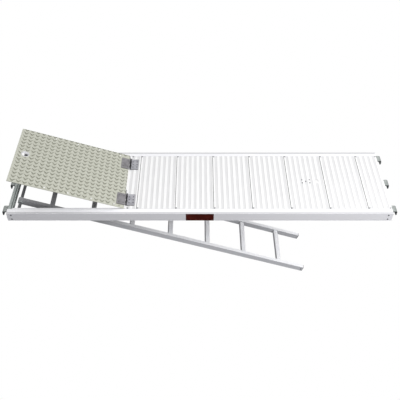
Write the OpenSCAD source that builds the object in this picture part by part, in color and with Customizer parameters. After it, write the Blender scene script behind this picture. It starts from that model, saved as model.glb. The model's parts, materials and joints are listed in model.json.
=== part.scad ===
// Scaffold access deck: ribbed aluminium planks between two box side rails,
// a tread-plate hatch over the manhole at one end, and a ladder that folds
// up under the deck. +X runs from the hatch end to the plain end, +Y to the
// far rail and +Z up. The origin is the seat of the hatch end's middle claw,
// where the deck hangs on a scaffold tube.
// The hatch stands part open, the ladder part lowered and its catch open.

/* [Frame] */
// Length of the side rails
deck_l = 2483; // [2460:1:2500]
// Width over the outer faces of the side rails
deck_w = 611; // [600:1:640]
// Height of the side rails
rail_h = 65; // [62:1:70]
// Width of a side rail's box section
rail_w = 41.5; // [38:0.5:44]
// Wall of the rails and the end beams
rail_wall = 2.5; // [2:0.5:3.5]
// Width of the bevel on a rail's outer top edge
bevel_w = 14.5; // [10:0.5:16]
// Depth of that bevel
bevel_h = 3.5; // [3:0.5:8]
// Width of an end beam along the deck
beam_w = 31; // [28:1:34]
// Height of an end beam under the plank skins
beam_h = 30; // [28:1:36]

/* [Planks] */
// X of the seam between the hinge plank and the first full plank
first_seam_x = -410.5; // [-412:0.5:-408]
// Pitch of the full planks
plank_pitch = 250; // [249:0.5:252]
// Width of the narrow plank that carries the hatch hinges
hinge_plank_w = 76; // [72:1:80]
// Thickness of the plank skin and of the hatch plate
skin_t = 4; // [3:0.5:5]
// Depth of the planks over their legs
plank_depth = 20; // [16:1:22]
// Pitch of the anti-slip grooves
groove_pitch = 35.3; // [30:0.1:38]
// Width of a groove at the surface
groove_w = 20; // [10:0.5:22]
// Depth of a groove
groove_depth = 1.6; // [1:0.1:2]

/* [Hatch] */
// Length of the hatch plate from its hinged edge to its free edge
hatch_l = 748; // [740:1:752]
// Width of the hatch plate
hatch_w = 523; // [500:1:524]
// Angle the hatch stands open by
hatch_angle = 18.8; // [0:0.1:90]
// Width of a hinge along its pin
hinge_w = 104; // [90:1:120]
// Half the distance between the hinges' middles
hinge_y = 176; // [150:1:190]
// Radius of the hinge pins
hinge_pin_r = 3.2; // [2.5:0.1:3.5]
// Diameter of the hand hole
hand_hole_d = 46; // [40:1:54]

/* [Ladder] */
// Length of the stringers beyond their pivot
ladder_l = 2050; // [1950:1:2060]
// Width over the stringers
ladder_w = 344; // [320:1:380]
// Angle the ladder hangs below the deck by
ladder_angle = 19.6; // [2:0.1:70]
// Distance from the pivot to the first rung
first_rung = 203; // [180:1:220]
// Pitch of the rungs
rung_pitch = 276.4; // [250:0.1:280]
// Width of a stringer
stringer_w = 25; // [20:1:28]
// Height of a stringer
stringer_h = 38; // [34:1:42]
// Width of a rung along the ladder
rung_w = 31.5; // [28:0.5:36]
// Height of a rung
rung_h = 26; // [22:1:30]
// Radius of the pivot shaft
shaft_r = 10; // [8:0.5:11]
// Radial clearance between the shaft and the ladder's bushes
shaft_clearance = 0.05; // [0.03:0.01:0.1]

/* [Claws and catch] */
// Width of a suspension claw
claw_w = 54; // [50:1:60]
// Reach of a claw past the end beam
claw_reach = 34; // [32:1:40]
// Distance of the outer claws from the centre line
claw_y = 250; // [248:1:256]
// Angle the ladder catch stands open by
catch_angle = 24; // [0:1:24]
// Diameter of the finger hole over the catch
finger_hole_d = 35; // [28:1:36]

/* [Hidden] */
$fn = 48;
TINY = 0.01;

half_l = deck_l / 2;
half_w = deck_w / 2;
rail_in = half_w - rail_w;
beam_bottom = -skin_t - beam_h;
beam_top_t = rail_wall + 1.5;
beam_groove = [6, 2];
beam_groove_x = beam_w * 0.68;
connector_l = 50;
connector_reach = 80;
plank_end_y = rail_in - 2;
ledge_w = 13;
ledge_t = 3;
seam_gap = 2;
seam_lip = [2, 2];
groove_start = 22;
plank_rivet_y = rail_in - 8;
hinge_plank_rivet = 19;
end_plank_rivet_inset = 8;
plank_rivet_inset = 8;
full_planks = 6;
catch_plank = 5;
end_seam_x = first_seam_x + full_planks * plank_pitch;
hinge_edge_x = first_seam_x - hinge_plank_w;
end_plank_w = half_l - end_seam_x + seam_gap / 2;

hatch_edge_x = hinge_edge_x - 2;
hinge_axis = [hinge_edge_x + 8.5, 6.2];
hinge_ys = [-6 - hinge_y, -6 + hinge_y];
barrel_r = 5.5;
leaf_t = 3;
leaf_root = 7;
fixed_leaf_l = 53;
hatch_leaf_l = 64;
knuckles = 5;
knuckle_gap = 0.5;
hatch_rivet_y = hatch_w / 2 - 18.5;
stiffener_w = 36;
stiffener_h = 25;
stiffener_t = 3;
stiffener_start = 12;
stiffener_l = 640;
hand_hole_r = hand_hole_d / 2;
hand_hole_t = 685;
hand_hole_y = 18;
small_hole_t = 711;
small_hole_y = -56;
small_hole_r = 4;
rim_t = 1.2;
rim_w = 5;
rim_sleeve = 2;
tongue_y = 9;
tongue_t = 2;
grip_corner = [-2, -1];

ladder_pivot = [-half_l + 62.5, -28];
stringer_wall = 2.5;
stringer_back = 18;
stringer_swing_r = 22;
stowed_angle = 1.4;
rungs = 7;
last_rung = first_rung + (rungs - 1) * rung_pitch;
stowed_rung_x = ladder_pivot[0] + last_rung * cos(stowed_angle);
stowed_rung_z = ladder_pivot[1] - last_rung * sin(stowed_angle);
stringer_mid_y = (ladder_w - stringer_w) / 2;
rung_l = ladder_w - 2 * stringer_w;
rung_wall = 2.2;
bush_r = shaft_r + 3;
foot_l = 3;
plug_l = 40;
plug_gap = 0.1;
foot_rivet_at = [ladder_l - 10, 0];

collar_w = 9;
collar_gap = 0.6;
collar_r = shaft_r + 4.5;
collar_pin_r = 2;
collar_offset = (stringer_w + collar_w) / 2 + collar_gap;
collar_ys = [stringer_mid_y - collar_offset, stringer_mid_y + collar_offset];

claw_top = -10;
claw_t = 9;
claw_lip_bottom = -44;
claw_outer_r = 10;

catch_x = stowed_rung_x + 34;
catch_pivot = [catch_x + 6, -44];
catch_w = 16;
catch_pin_r = 4;
finger_hole_x = catch_x + 71;
catch_base = [66, 48, 3];
catch_rivet_dx = 25;
catch_rivet_dy = 15;
cheek_t = 3;
cheek_half_w = 16;
cheek_y = catch_w / 2 + 1 + cheek_t / 2;
hub_r = 9;
hook_gap = 2;
hook_w = 10;
nose_l = 19;
nose_t = 8;
hook_nose_top = stowed_rung_z - rung_h / 2 - hook_gap;
hook_shank_x = stowed_rung_x + rung_w / 2 + 2 * hook_gap;

plank_rivet_r = 2.4;
rail_rivet_r = 3.2;
rail_rivet_z = [-17, -52];
rail_rivet_x = half_l - 28;
plate_l = 180;
plate_margin = 0.5;
leaf_screw_r = 2.5;
leaf_screw_xs = [17, 43];
leaf_screw_ys = [-27, 0, 27];
leaf_rivet_xs = [20, 50];
leaf_rivet_ys = [-32, 32];
hatch_rivet_ts = [for (i = [0 : 3]) 67 + i * 150];
drill_l = 30;

ALUMINIUM = [0.90, 0.90, 0.91];
RAIL_GREY = [0.78, 0.78, 0.80];
GALVANISED = [0.56, 0.60, 0.59];
TREAD = [0.78, 0.77, 0.69];
HINGE_GREY = [0.60, 0.60, 0.63];
DARK_STEEL = [0.25, 0.25, 0.27];
BLACK = [0.12, 0.12, 0.13];
PLATE_RED = [0.30, 0.10, 0.08];

FRAME_NODES = ["near_side_rail", "far_side_rail", "hatch_end_beam", "plain_end_beam",
               "corner_connectors", "rail_end_rivets", "identity_plate"];
PLANK_NODES = ["hinge_plank", "plank_1", "plank_2", "plank_3", "plank_4", "plank_5",
               "plank_6", "end_plank", "plank_rivets"];
CLAW_NODES = ["hatch_end_near_claw", "hatch_end_middle_claw", "hatch_end_far_claw",
              "plain_end_near_claw", "plain_end_middle_claw", "plain_end_far_claw"];
HATCH_NODES = ["hatch_plate", "near_hatch_stiffener", "far_hatch_stiffener",
               "hatch_edge_rivets", "hand_hole_rim", "hand_hole_grip",
               "near_hinge_deck_leaf", "far_hinge_deck_leaf", "near_hinge_hatch_leaf",
               "far_hinge_hatch_leaf", "near_hinge_pin", "far_hinge_pin",
               "hinge_deck_screws", "hinge_hatch_rivets"];
LADDER_NODES = ["near_stringer", "far_stringer", "rung_1", "rung_2", "rung_3", "rung_4",
                "rung_5", "rung_6", "rung_7", "ladder_feet", "ladder_foot_rivets",
                "pivot_bushes", "pivot_shaft", "shaft_collars", "collar_pins"];
CATCH_NODES = ["catch_bracket", "catch_hook", "catch_pin", "catch_rivets"];

// ---- placing ------------------------------------------------------------

// Moves geometry drawn from the middle of the walking surface to its place
// about the origin
module on_deck() translate([half_l + claw_reach / 2, 0, claw_t - claw_top]) children();

// Extrudes an outline drawn in Y and Z along X
module along_x(l) rotate([90, 0, 90]) linear_extrude(l, center = true) children();

// Extrudes an outline drawn in X and Z along Y
module along_y(l) rotate([90, 0, 0]) linear_extrude(l, center = true) children();

// A cylinder along Y, centred on an X and Z point
module pin_y(r, l, at = [0, 0], y = 0)
    translate([at[0], y, at[1]]) rotate([90, 0, 0]) cylinder(r = r, h = l, center = true);

// Turns closed-hatch geometry about the hinge axis
module on_hatch() on_deck()
    translate([hinge_axis[0], 0, hinge_axis[1]]) rotate([0, hatch_angle, 0])
        translate([-hinge_axis[0], 0, -hinge_axis[1]]) children();

// Places geometry drawn from the pivot along +X as the hanging ladder
module on_ladder() on_deck()
    translate([ladder_pivot[0], 0, ladder_pivot[1]]) rotate([0, ladder_angle, 0]) children();

// Turns latched-catch geometry about the catch pin
module on_catch() on_deck()
    translate([catch_pivot[0], 0, catch_pivot[1]]) rotate([0, -catch_angle, 0])
        translate([-catch_pivot[0], 0, -catch_pivot[1]]) children();

// ---- fasteners ----------------------------------------------------------

// A domed rivet: its head sits on Z = 0 and its shank reaches down by grip
module rivet(head_r, head_h, shank_r, grip) {
    dome_r = (head_r * head_r + head_h * head_h) / (2 * head_h);
    intersection() {
        translate([0, 0, head_h - dome_r]) sphere(r = dome_r);
        cylinder(r = head_r, h = head_h);
    }
    translate([0, 0, -grip]) cylinder(r = shank_r, h = grip + TINY);
}

// ---- frame --------------------------------------------------------------

// Outline of the rail's box for the +Y side, shrunk by inset on every face
module rail_box(inset = 0) {
    top_y = half_w - bevel_w - inset * 0.35;
    polygon([[rail_in + inset, -rail_h + inset], [half_w - inset, -rail_h + inset],
             [half_w - inset, -bevel_h - inset * 0.8], [top_y, -inset],
             [rail_in + inset, -inset]]);
}

module rail_profile() difference() {
    union() {
        rail_box();
        translate([rail_in - ledge_w, -skin_t - ledge_t]) square([ledge_w + rail_wall, ledge_t]);
        translate([rail_in - ledge_w, -rail_h]) square([ledge_w + rail_wall, ledge_t]);
    }
    rail_box(rail_wall);
}

// X of every plank rivet in one rail
function plank_rivet_xs() = concat(
    [hinge_edge_x + hinge_plank_rivet, half_l - end_plank_rivet_inset],
    [for (k = [0 : full_planks]) first_seam_x + k * plank_pitch + plank_rivet_inset]);

module at_plank_rivets()
    for (s = [-1, 1], x = plank_rivet_xs()) translate([x, s * plank_rivet_y, 0]) children();

// A side rail for the +Y side: a box section with a ledge for the planks,
// cut back at both ends for the end beams and their corner connectors
module side_rail() color(RAIL_GREY) on_deck() difference() {
    along_x(deck_l) rail_profile();
    for (e = [-1, 1]) {
        translate([e * (half_l - beam_w / 2 + 0.25), rail_in - ledge_w / 2 - 1, -rail_h / 2])
            cube([beam_w + 1.5, ledge_w + 2, rail_h + 2], center = true);
        translate([e * (half_l - beam_w / 2), rail_in + rail_wall / 2, -skin_t - beam_h / 2])
            cube([beam_w - 2 * rail_wall, rail_wall + 1, beam_h - 2 * rail_wall], center = true);
        for (z = rail_rivet_z)
            translate([e * rail_rivet_x, half_w - rail_wall, z])
                rotate([90, 0, 0]) cylinder(r = rail_rivet_r, h = drill_l, center = true);
    }
    pin_y(shaft_r, 20, ladder_pivot, rail_in);
    at_plank_rivets() cylinder(r = plank_rivet_r, h = drill_l, center = true);
}

module near_side_rail() mirror([0, 1, 0]) side_rail();
module far_side_rail() side_rail();

// Outline of an end beam's inside, in X measured inward from the rail end, and Z
module beam_cavity(gap = 0)
    translate([rail_wall + gap, beam_bottom + rail_wall + gap])
        square([beam_w - 2 * (rail_wall + gap), beam_h - rail_wall - beam_top_t - 2 * gap]);

module beam_profile() difference() {
    translate([0, beam_bottom]) square([beam_w, beam_h]);
    beam_cavity();
    translate([beam_groove_x - beam_groove[0] / 2, -skin_t - beam_groove[1]])
        square([beam_groove[0], beam_groove[1] + 1]);
}

// A hollow cross beam between the rails; end is -1 at the hatch, +1 at the plain end
module end_beam(end) color(GALVANISED) on_deck() difference() {
    translate([end * half_l, 0, 0]) scale([-end, 1, 1])
        along_y(2 * rail_in) beam_profile();
    at_plank_rivets() cylinder(r = plank_rivet_r, h = drill_l, center = true);
}

module hatch_end_beam() end_beam(-1);
module plain_end_beam() end_beam(1);

// Four cast elbows: one leg fills a rail's end and the other enters the end beam
module corner_connectors() color(ALUMINIUM) on_deck()
    for (e = [-1, 1], s = [-1, 1]) scale([e, s, 1]) difference() {
        union() {
            translate([half_l - connector_l / 2 - 0.5, 0, 0])
                along_x(connector_l) rail_box(rail_wall + 0.2);
            translate([half_l, 0, 0]) scale([-1, 1, 1]) rotate([90, 0, 0])
                translate([0, 0, -rail_in - rail_wall - 1])
                    linear_extrude(connector_reach) beam_cavity(0.3);
        }
        for (z = rail_rivet_z)
            translate([rail_rivet_x, half_w - rail_wall, z])
                rotate([90, 0, 0]) cylinder(r = rail_rivet_r, h = drill_l, center = true);
    }

module rail_end_rivets() color(DARK_STEEL) on_deck()
    for (e = [-1, 1], s = [-1, 1], z = rail_rivet_z)
        translate([e * rail_rivet_x, s * half_w, z]) rotate([-s * 90, 0, 0])
            rivet(5.5, 2.4, rail_rivet_r, 14);

// A plain identity plate on the near rail's outer face
module identity_plate() color(PLATE_RED) on_deck()
    translate([-plate_l / 2, -half_w - 1, -rail_h + plate_margin])
        cube([plate_l, 1, rail_h - bevel_h - 2 * plate_margin]);

// ---- planks -------------------------------------------------------------

// Number of grooves that fit on a plank of width w
function groove_count(w) = floor((w - groove_start - groove_w / 2) / groove_pitch) + 1;

// Outline of a plank's grooved skin in X and Z; start is the first groove's centre
module plank_skin(w, start, grooves) difference() {
    translate([seam_gap / 2, -skin_t]) square([w - seam_gap, skin_t]);
    for (i = [0 : grooves - 1]) translate([start + i * groove_pitch, 0])
        polygon([[-groove_w / 2, TINY], [groove_w / 2, TINY],
                 [groove_w / 2 - 2, -groove_depth], [2 - groove_w / 2, -groove_depth]]);
}

// One stiffening leg with a foot along its lower edge
module plank_leg(x, foot = 6) {
    translate([x - 1.25, -plank_depth]) square([2.5, plank_depth - skin_t + TINY]);
    translate([x - foot / 2, -plank_depth]) square([foot, 2.5]);
}

// Outline of the lip that closes the seam after a plank of width w from below
module plank_lip(w) {
    bottom = -skin_t - seam_lip[1];
    translate([w - 4, bottom]) square([4 - seam_gap / 2, seam_lip[1] + TINY]);
    translate([w - 4, bottom]) square([4 + seam_lip[0], seam_lip[1] - 0.2]);
}

// A plank from seam x0, with its legs at the given distances from that seam
module plank(x0, w, legs, start = groove_start, lip = true) color(ALUMINIUM) difference() {
    translate([x0, 0, 0]) {
        along_y(2 * plank_end_y) plank_skin(w, start, groove_count(w));
        along_y(2 * (rail_in - ledge_w - 1)) {
            for (x = legs) plank_leg(x);
            if (lip) plank_lip(w);
        }
    }
    at_plank_rivets() cylinder(r = plank_rivet_r, h = drill_l, center = true);
}

function full_legs() = [for (i = [0 : 3]) 4 + i * (plank_pitch - 8) / 3];

module full_plank(k)
    plank(first_seam_x + (k - 1) * plank_pitch, plank_pitch, full_legs());

// The narrow plank beside the manhole, with its two grooves between the hinges' screws
module hinge_plank() on_deck() difference() {
    plank(hinge_edge_x, hinge_plank_w, [5, hinge_plank_w - 5], groove_start - 0.5);
    at_deck_screws() cylinder(r = leaf_screw_r, h = drill_l, center = true);
}

module plank_1() on_deck() full_plank(1);
module plank_2() on_deck() full_plank(2);
module plank_3() on_deck() full_plank(3);
module plank_4() on_deck() full_plank(4);
module plank_6() on_deck() full_plank(6);

// The plank over the ladder catch, with its rivet holes and the finger hole
module plank_5() on_deck() difference() {
    full_plank(catch_plank);
    translate([finger_hole_x, 0, 0]) cylinder(r = finger_hole_d / 2, h = drill_l, center = true);
    at_catch_rivets() cylinder(r = plank_rivet_r, h = drill_l, center = true);
}

// The cut-down last plank, borne by the plain end beam
module end_plank() on_deck() plank(end_seam_x, end_plank_w, [4, 84], lip = false);

module plank_rivets() color(ALUMINIUM) on_deck()
    at_plank_rivets() rivet(5.5, 1.8, plank_rivet_r, skin_t + ledge_t + 1);

// ---- claws --------------------------------------------------------------

// Outline of a claw in X past the beam, and Z: a root welded to the beam, a
// rounded top and a lip
module claw_profile() {
    lip_r = claw_t / 2;
    difference() {
        union() {
            translate([0, beam_bottom]) square([claw_t, claw_top - beam_bottom]);
            translate([0, claw_top - claw_outer_r]) square([claw_reach - claw_outer_r, claw_outer_r]);
            translate([claw_reach - claw_outer_r, claw_top - claw_outer_r]) circle(r = claw_outer_r);
            translate([claw_reach - claw_t, claw_lip_bottom + lip_r])
                square([claw_t, claw_top - claw_outer_r - claw_lip_bottom - lip_r]);
            translate([claw_reach - lip_r, claw_lip_bottom + lip_r]) circle(r = lip_r);
        }
        translate([claw_t, claw_lip_bottom - 1])
            square([claw_reach - 2 * claw_t, claw_top - claw_t - claw_lip_bottom + 1]);
    }
}

// One bent claw at the height of y, hooked outward from the end beam
module claw(end, y) color(GALVANISED) on_deck()
    translate([end * half_l, y, 0]) scale([end, 1, 1]) along_y(claw_w) claw_profile();

module hatch_end_near_claw() claw(-1, -claw_y);
module hatch_end_middle_claw() claw(-1, 0);
module hatch_end_far_claw() claw(-1, claw_y);
module plain_end_near_claw() claw(1, -claw_y);
module plain_end_middle_claw() claw(1, 0);
module plain_end_far_claw() claw(1, claw_y);

// ---- hatch --------------------------------------------------------------

// X of a place on the closed hatch, measured from its hinged edge
function hatch_x(t) = hatch_edge_x - t;

module at_hatch_rivets()
    for (t = hatch_rivet_ts, s = [-1, 1]) translate([hatch_x(t), s * hatch_rivet_y, 0]) children();

module at_leaf_rivets()
    for (y = hinge_ys, x = leaf_rivet_xs, dy = leaf_rivet_ys)
        translate([hinge_axis[0] - x, y + dy, leaf_t]) children();

module at_deck_screws()
    for (y = hinge_ys, x = leaf_screw_xs, dy = leaf_screw_ys)
        translate([hinge_axis[0] + x, y + dy, leaf_t]) children();

// The tread plate, with a hand hole near its free edge
module hatch_plate() color(TREAD) on_hatch() difference() {
    translate([hatch_x(hatch_l), -hatch_w / 2, -skin_t]) cube([hatch_l, hatch_w, skin_t]);
    translate([hatch_x(hand_hole_t), hand_hole_y, 0])
        cylinder(r = hand_hole_r, h = drill_l, center = true);
    translate([hatch_x(small_hole_t), small_hole_y, 0])
        cylinder(r = small_hole_r, h = drill_l, center = true);
    at_hatch_rivets() cylinder(r = plank_rivet_r, h = drill_l, center = true);
    at_leaf_rivets() cylinder(r = leaf_screw_r, h = drill_l, center = true);
}

// An angle under the hatch plate's long edge; side is -1 near, +1 far
module hatch_stiffener(side) color(ALUMINIUM) on_hatch() scale([1, side, 1]) difference() {
    translate([hatch_x(stiffener_start + stiffener_l), 0, 0]) rotate([90, 0, 90])
        linear_extrude(stiffener_l) translate([hatch_rivet_y + 5 - stiffener_w, -skin_t]) {
            translate([0, -stiffener_t]) square([stiffener_w, stiffener_t]);
            translate([0, -stiffener_h]) square([stiffener_t, stiffener_h]);
        }
    at_hatch_rivets() cylinder(r = plank_rivet_r, h = drill_l, center = true);
}

module near_hatch_stiffener() hatch_stiffener(-1);
module far_hatch_stiffener() hatch_stiffener(1);

module hatch_edge_rivets() color("white") on_hatch() at_hatch_rivets()
    rivet(5, 2, plank_rivet_r, skin_t + stiffener_t - 0.2);

// The part of a disc in the hand hole with X over x0 and Y between y0 and y1
module hole_segment(r, x0, y0, y1, h)
    translate([hatch_x(hand_hole_t), hand_hole_y, -skin_t]) intersection() {
        cylinder(r = r, h = h);
        translate([x0, y0, -1]) cube([r - x0 + 1, y1 - y0, h + 2]);
    }

// A pressed rim round the hand hole, with a tongue across the hole's far part
module hand_hole_rim() color(ALUMINIUM) on_hatch() {
    translate([hatch_x(hand_hole_t), hand_hole_y, 0]) rotate_extrude()
        translate([hand_hole_r - rim_sleeve, -skin_t]) {
            square([rim_sleeve, skin_t + 1]);
            translate([0, skin_t]) square([rim_w, rim_t]);
        }
    hole_segment(hand_hole_r - rim_sleeve / 2, -hand_hole_r, tongue_y, hand_hole_r, tongue_t);
}

// A moulded grip in the hole's near part, on the hinges' side
module hand_hole_grip() color(BLACK) on_hatch()
    hole_segment(hand_hole_r - rim_sleeve, grip_corner[0], -hand_hole_r, grip_corner[1], skin_t + 1);

knuckle_l = (hinge_w - (knuckles - 1) * knuckle_gap) / knuckles;

// Y of the middle of knuckle i, from the hinge's middle
function knuckle_y(i) = -hinge_w / 2 + knuckle_l / 2 + i * (knuckle_l + knuckle_gap);

// One hinge leaf about the pin axis at the origin. dir is +1 for the deck's
// leaf, which has the odd knuckles, and -1 for the hatch's leaf
module leaf(dir, l, bore_r) scale([dir, 1, 1]) difference() {
    union() {
        translate([leaf_root, -hinge_w / 2, -hinge_axis[1]]) cube([l - leaf_root, hinge_w, leaf_t]);
        for (i = [0 : knuckles - 1]) if ((i % 2 == 0) == (dir > 0)) {
            pin_y(barrel_r, knuckle_l, [0, 0], knuckle_y(i));
            translate([0, knuckle_y(i) - knuckle_l / 2, -hinge_axis[1]])
                cube([leaf_root + 1, knuckle_l, leaf_t]);
        }
    }
    pin_y(bore_r, hinge_w + 2);
}

module deck_leaf(y) color(HINGE_GREY) on_deck() difference() {
    translate([hinge_axis[0], y, hinge_axis[1]]) leaf(1, fixed_leaf_l, hinge_pin_r);
    at_deck_screws() cylinder(r = leaf_screw_r, h = drill_l, center = true);
}

module hatch_leaf(y) color(HINGE_GREY) on_hatch() difference() {
    translate([hinge_axis[0], y, hinge_axis[1]])
        leaf(-1, hatch_leaf_l, hinge_pin_r + 0.05);
    at_leaf_rivets() cylinder(r = leaf_screw_r, h = drill_l, center = true);
}

module near_hinge_deck_leaf() deck_leaf(hinge_ys[0]);
module far_hinge_deck_leaf() deck_leaf(hinge_ys[1]);
module near_hinge_hatch_leaf() hatch_leaf(hinge_ys[0]);
module far_hinge_hatch_leaf() hatch_leaf(hinge_ys[1]);

module hinge_pin(y) color(DARK_STEEL) on_deck() pin_y(hinge_pin_r, hinge_w, hinge_axis, y);

module near_hinge_pin() hinge_pin(hinge_ys[0]);
module far_hinge_pin() hinge_pin(hinge_ys[1]);

module hinge_deck_screws() color(DARK_STEEL) on_deck()
    at_deck_screws() rivet(4.5, 1.6, leaf_screw_r, leaf_t + skin_t + 2);

module hinge_hatch_rivets() color(HINGE_GREY) on_hatch()
    at_leaf_rivets() rivet(4.5, 0.9, leaf_screw_r, leaf_t + skin_t);

// ---- ladder -------------------------------------------------------------

// Outline of a stringer in X from the pivot, and Z: its back corners are rounded
// about the pivot, to swing clear of the closed hatch
module stringer_outline() intersection() {
    translate([-stringer_back, -stringer_h / 2]) square([ladder_l + stringer_back, stringer_h]);
    union() {
        circle(r = stringer_swing_r);
        translate([0, -stringer_h]) square([ladder_l + 1, 2 * stringer_h]);
    }
}

// One box stringer, bored for its bush at the pivot; s is -1 near, +1 far
module stringer(s) color(ALUMINIUM) on_ladder() translate([0, s * stringer_mid_y, 0]) difference() {
    along_y(stringer_w) stringer_outline();
    translate([bush_r + stringer_h / 2 + ladder_l / 2, 0, 0])
        cube([ladder_l, stringer_w - 2 * stringer_wall, stringer_h - 2 * stringer_wall],
             center = true);
    pin_y(bush_r, stringer_w + 2);
    pin_y(plank_rivet_r, stringer_w + 2, foot_rivet_at);
}

module near_stringer() stringer(-1);
module far_stringer() stringer(1);

// Rounded box outline of a rung, across the ladder's length
module rung_outline(inset = 0) {
    corner = 4;
    x = rung_w / 2 - corner;
    z = rung_h / 2 - corner;
    square([2 * x, 2 * (z + corner - inset)], center = true);
    square([2 * (x + corner - inset), 2 * z], center = true);
    for (sx = [-1, 1], sz = [-1, 1]) translate([sx * x, sz * z]) circle(r = corner - inset);
}

// Rung i, counted from the pivot: a hollow section with a grooved tread
module rung(i) color(ALUMINIUM) on_ladder()
    translate([first_rung + (i - 1) * rung_pitch, 0, 0]) along_y(rung_l) difference() {
        rung_outline();
        rung_outline(rung_wall);
        for (x = [-9, -3, 3, 9]) translate([x - 1, rung_h / 2 - 0.8]) square([2, 2]);
    }

module rung_1() rung(1);
module rung_2() rung(2);
module rung_3() rung(3);
module rung_4() rung(4);
module rung_5() rung(5);
module rung_6() rung(6);
module rung_7() rung(7);

// A plug and tread for the lower end of each stringer
module ladder_feet() color(BLACK) on_ladder()
    for (s = [-1, 1]) translate([0, s * stringer_mid_y, 0]) difference() {
        union() {
            translate([ladder_l - plug_l / 2, 0, 0])
                cube([plug_l + 1, stringer_w - 2 * (stringer_wall + plug_gap),
                      stringer_h - 2 * (stringer_wall + plug_gap)], center = true);
            translate([ladder_l + foot_l / 2, 0, 0])
                cube([foot_l, stringer_w, stringer_h], center = true);
        }
        pin_y(plank_rivet_r, stringer_w + 2, foot_rivet_at);
    }

// A rivet through each stringer and its plug, headed on both faces
module ladder_foot_rivets() color(DARK_STEEL) on_ladder() for (s = [-1, 1], face = [-1, 1])
    translate([foot_rivet_at[0], s * stringer_mid_y + face * stringer_w / 2, foot_rivet_at[1]])
        rotate([-face * 90, 0, 0]) rivet(6, 2, plank_rivet_r, stringer_w / 2 + 1);

// Plain bushes pressed into the stringers, turning on the shaft
module pivot_bushes() color(BLACK) on_ladder() for (s = [-1, 1]) difference() {
    pin_y(bush_r, stringer_w, [0, 0], s * stringer_mid_y);
    pin_y(shaft_r + shaft_clearance, stringer_w + 2, [0, 0], s * stringer_mid_y);
}

module at_collar_pins()
    for (s = [-1, 1], y = collar_ys)
        translate([ladder_pivot[0], s * y, ladder_pivot[1]]) children();

// The fixed shaft across the frame that the ladder swings on
module pivot_shaft() color(DARK_STEEL) on_deck() difference() {
    pin_y(shaft_r, 2 * rail_in + 14, ladder_pivot);
    at_collar_pins() cylinder(r = collar_pin_r, h = 2 * collar_r + 2, center = true);
}

// Collars on both sides of each stringer, cross-pinned to the shaft
module shaft_collars() color(GALVANISED) on_deck() for (s = [-1, 1], y = collar_ys) difference() {
    pin_y(collar_r, collar_w, ladder_pivot, s * y);
    pin_y(shaft_r, collar_w + 2, ladder_pivot, s * y);
    translate([ladder_pivot[0], s * y, ladder_pivot[1]])
        cylinder(r = collar_pin_r, h = 2 * collar_r + 2, center = true);
}

module collar_pins() color(DARK_STEEL) on_deck()
    at_collar_pins() cylinder(r = collar_pin_r, h = 2 * collar_r + 0.8, center = true);

// ---- ladder catch -------------------------------------------------------

module at_catch_rivets() {
    for (sx = [-1, 1], sy = [-1, 1])
        translate([catch_x + sx * catch_rivet_dx, sy * catch_rivet_dy, 0]) children();
    translate([catch_x, 0, 0]) children();
}

// A base under the plank skin and two cheeks that carry the hook's pin
module catch_bracket() color(GALVANISED) on_deck() difference() {
    union() {
        translate([catch_x, 0, -skin_t - catch_base[2] / 2]) cube(catch_base, center = true);
        for (s = [-1, 1]) translate([catch_pivot[0], s * cheek_y, catch_pivot[1]])
            along_y(cheek_t) {
                translate([-cheek_half_w, 0])
                    square([2 * cheek_half_w, -catch_pivot[1] - skin_t - catch_base[2] + TINY]);
                circle(r = hub_r + 1);
            }
    }
    at_catch_rivets() cylinder(r = plank_rivet_r, h = drill_l, center = true);
    pin_y(catch_pin_r, drill_l, catch_pivot);
}

// Outline of the hook in X and Z: from its nose up the shank to the hub
module hook_outline()
    polygon([[hook_shank_x - nose_l, hook_nose_top - nose_t],
             [hook_shank_x + hook_w, hook_nose_top - nose_t],
             [catch_pivot[0] + 7, catch_pivot[1] - 2], [catch_pivot[0] - 7, catch_pivot[1] - 2],
             [hook_shank_x, catch_pivot[1] - 16], [hook_shank_x, hook_nose_top],
             [hook_shank_x - nose_l, hook_nose_top]]);

// Outline of the tail from the hub to the pad under the finger hole
module tail_outline()
    polygon([[catch_pivot[0] + 1, catch_pivot[1] + 7], [finger_hole_x - 8, catch_pivot[1] - 14],
             [finger_hole_x + 8, catch_pivot[1] - 16], [finger_hole_x + 8, catch_pivot[1] - 22],
             [finger_hole_x - 8, catch_pivot[1] - 23], [catch_pivot[0] + 1, catch_pivot[1] - 7]]);

// The hook that holds the stowed ladder's last rung, with a tail for a finger
module catch_hook() color(GALVANISED) on_catch() difference() {
    union() {
        pin_y(hub_r, catch_w, catch_pivot);
        along_y(catch_w) hook_outline();
        along_y(catch_w) tail_outline();
    }
    pin_y(catch_pin_r + 0.05, catch_w + 2, catch_pivot);
}

// The hook's pin, headed on both sides of the cheeks
module catch_pin() color(DARK_STEEL) on_deck() {
    pin_y(catch_pin_r, 2 * cheek_y + cheek_t + 1, catch_pivot);
    for (s = [-1, 1]) pin_y(catch_pin_r + 2.5, 2, catch_pivot, s * (cheek_y + cheek_t / 2 + 1));
}

module catch_rivets() color(DARK_STEEL) on_deck()
    at_catch_rivets() rivet(4.5, 1.8, plank_rivet_r, skin_t + catch_base[2] + 1.5);

// ---- nodes --------------------------------------------------------------

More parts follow.
